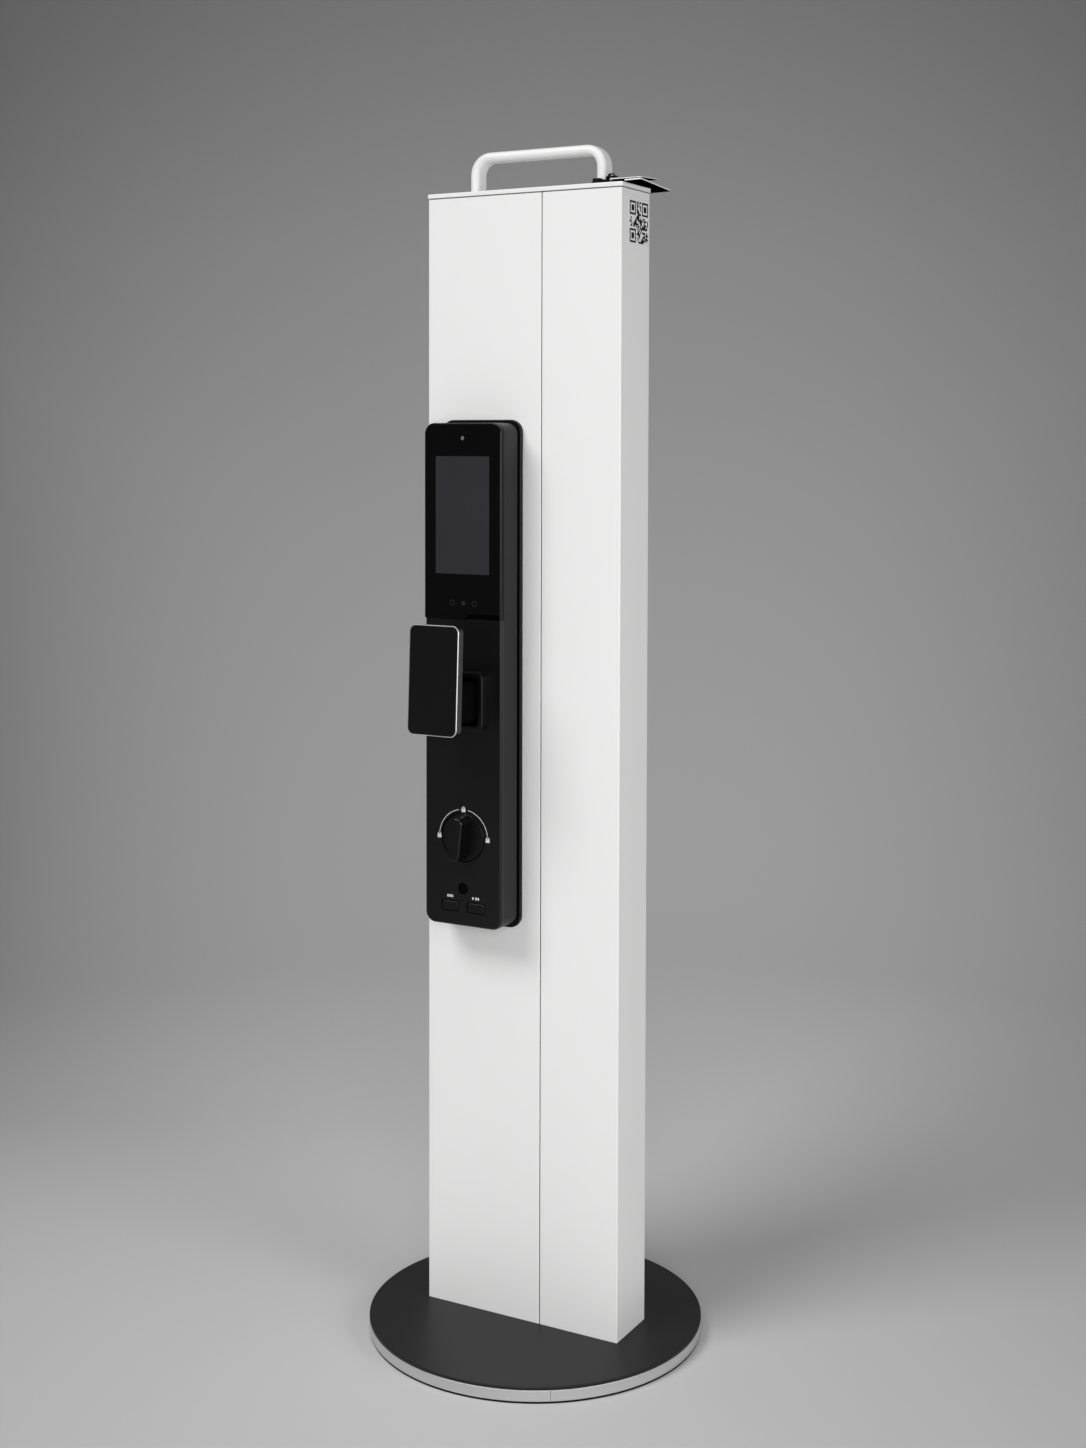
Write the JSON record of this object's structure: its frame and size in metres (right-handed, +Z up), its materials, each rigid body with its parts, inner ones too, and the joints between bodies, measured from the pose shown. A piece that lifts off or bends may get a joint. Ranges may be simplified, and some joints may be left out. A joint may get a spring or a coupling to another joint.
{
  "type": "smart door lock demonstration stand",
  "caption": "Portable door-leaf sample on a round weighted base with a carry handle, fitted with a screen smart lock with push handle, thumbturn and edge mortise lock.",
  "frame": {"origin": "centre of the round base on the floor", "axes": "+Z up along the post, -Y out of the front face with the screen, +X to the right seen from the front"},
  "size_m": [0.31, 0.31, 1.0935],
  "materials": {
    "white_powder_coat": "fine satin powder coat",
    "black_powder_coat": "satin",
    "core_steel": "rough",
    "stainless_band": "brushed round the rim",
    "mat_rubber": "matt",
    "zinc_steel": "zinc plated",
    "block_aluminium": "sawn",
    "satin_steel": "satin",
    "brass": "turned",
    "black_plate": "satin black",
    "black_plastic": "fine matt",
    "black_aluminium": "black anodised, satin",
    "bright_trim": "diamond cut",
    "black_glass": "polished, printed black behind",
    "screen": "screen, off",
    "lens": "coated lens",
    "board_green": "solder mask",
    "cell_wrap": "shrink wrap",
    "tag_card": "thin card, light edges"
  },
  "bodies": {
    "stand": {"base_mat": "mat_rubber", "base_core": "core_steel", "base_band": "stainless_band", "base_top_plate": "black_powder_coat", "base_screws": "zinc_steel", "leaf_section": "white_powder_coat", "frame_section": "white_powder_coat", "leaf_foot": "zinc_steel", "frame_foot": "zinc_steel", "tie_screws": "zinc_steel", "leaf_top_block": "block_aluminium", "frame_top_block": "block_aluminium", "top_cap": "white_powder_coat", "carry_handle": "white_powder_coat", "handle_screws": "zinc_steel", "clip_body": "black_plastic", "clip_pin": "zinc_steel", "tag_lower": "tag_card", "tag_upper": "tag_card", "inner_gasket": "mat_rubber", "inner_mount_plate": "black_plate", "inner_housing": "black_plastic", "lower_cover": "black_plastic", "upper_bezel": "black_plastic", "glass_panel": "black_glass", "display": "screen", "inner_camera": "lens", "main_board": "board_green", "button_board": "board_green", "battery_tray": "black_plastic", "battery_cells": "cell_wrap", "inner_collar": "black_plastic", "handle_pins": "zinc_steel", "through_bolts": "zinc_steel", "mortise_case": "zinc_steel", "edge_faceplate": "satin_steel", "faceplate_tabs": "zinc_steel", "faceplate_screws": "zinc_steel", "latch_spring": "zinc_steel", "outer_gasket": "mat_rubber", "outer_back_plate": "zinc_steel", "outer_housing": "black_plastic", "outer_glass": "black_glass", "outer_collar": "black_plastic", "key_cylinder": "brass"},
    "inner_handle": {"inner_arm": "black_aluminium", "inner_palm_plate": "black_aluminium", "inner_trim": "bright_trim"},
    "outer_handle": {"outer_arm": "black_aluminium", "outer_palm_plate": "black_aluminium"},
    "thumbturn": {"thumbturn": "black_plastic", "turn_spindle": "zinc_steel", "bolt_pinion": "brass"},
    "dead_bolts": {"dead_bolts": "satin_steel"},
    "latch": {"latch_bolt": "satin_steel"},
    "round_button": {"round_button": "black_plastic"},
    "left_button": {"left_button": "black_plastic"},
    "right_button": {"right_button": "black_plastic"},
    "key_cover": {"key_cover": "black_plastic"},
    "clip_lever": {"clip_lever": "black_plastic"}
  },
  "joints": [
    {"name": "inner_handle_push", "type": "hinge", "parent": "stand", "child": "inner_handle", "pos_m": [-0.04, -0.052, 0.5935], "axis": [-1, 0, 0], "range_deg": [0, 7], "stiffness_Nm_per_rad": 4, "springref_deg": -5.73},
    {"name": "outer_handle_pull", "type": "hinge", "parent": "stand", "child": "outer_handle", "pos_m": [-0.04, 0.045, 0.5935], "axis": [-1, 0, 0], "range_deg": [0, 7], "stiffness_Nm_per_rad": 4, "springref_deg": -8.59},
    {"name": "thumbturn_turn", "type": "hinge", "parent": "stand", "child": "thumbturn", "pos_m": [-0.04, -0.065, 0.4673], "axis": [0, -1, 0], "range_deg": [-84, 96]},
    {"name": "dead_bolt_throw", "type": "slide", "parent": "stand", "child": "dead_bolts", "axis": [-1, 0, 0], "range_m": [-0.01066, 0.00933]},
    {"name": "latch_slide", "type": "slide", "parent": "stand", "child": "latch", "axis": [1, 0, 0], "range_m": [0, 0.01], "stiffness_N_per_m": 300, "springref_m": -0.004, "deforming": ["latch_spring"]},
    {"name": "round_button_press", "type": "slide", "parent": "stand", "child": "round_button", "axis": [0, 1, 0], "range_m": [0, 0.001], "stiffness_N_per_m": 600, "springref_m": -0.001},
    {"name": "left_button_press", "type": "slide", "parent": "stand", "child": "left_button", "axis": [0, 1, 0], "range_m": [0, 0.001], "stiffness_N_per_m": 600, "springref_m": -0.001},
    {"name": "right_button_press", "type": "slide", "parent": "stand", "child": "right_button", "axis": [0, 1, 0], "range_m": [0, 0.001], "stiffness_N_per_m": 600, "springref_m": -0.001},
    {"name": "key_cover_swing", "type": "hinge", "parent": "stand", "child": "key_cover", "pos_m": [-0.04, 0.0585, 0.4673], "axis": [0, 1, 0], "range_deg": [0, 90]},
    {"name": "clip_lever_lift", "type": "hinge", "parent": "stand", "child": "clip_lever", "pos_m": [0.077, -0.022, 1.0583], "axis": [0, -1, 0], "range_deg": [0, 20], "stiffness_Nm_per_rad": 0.05, "springref_deg": -11.46}
  ],
  "couplings": [
    {"joint": "thumbturn_turn", "follows": "dead_bolt_throw", "rad_per_m": -157.08},
    {"joint": "latch_slide", "follows": "inner_handle_push", "m_per_rad": 0.0818}
  ]
}
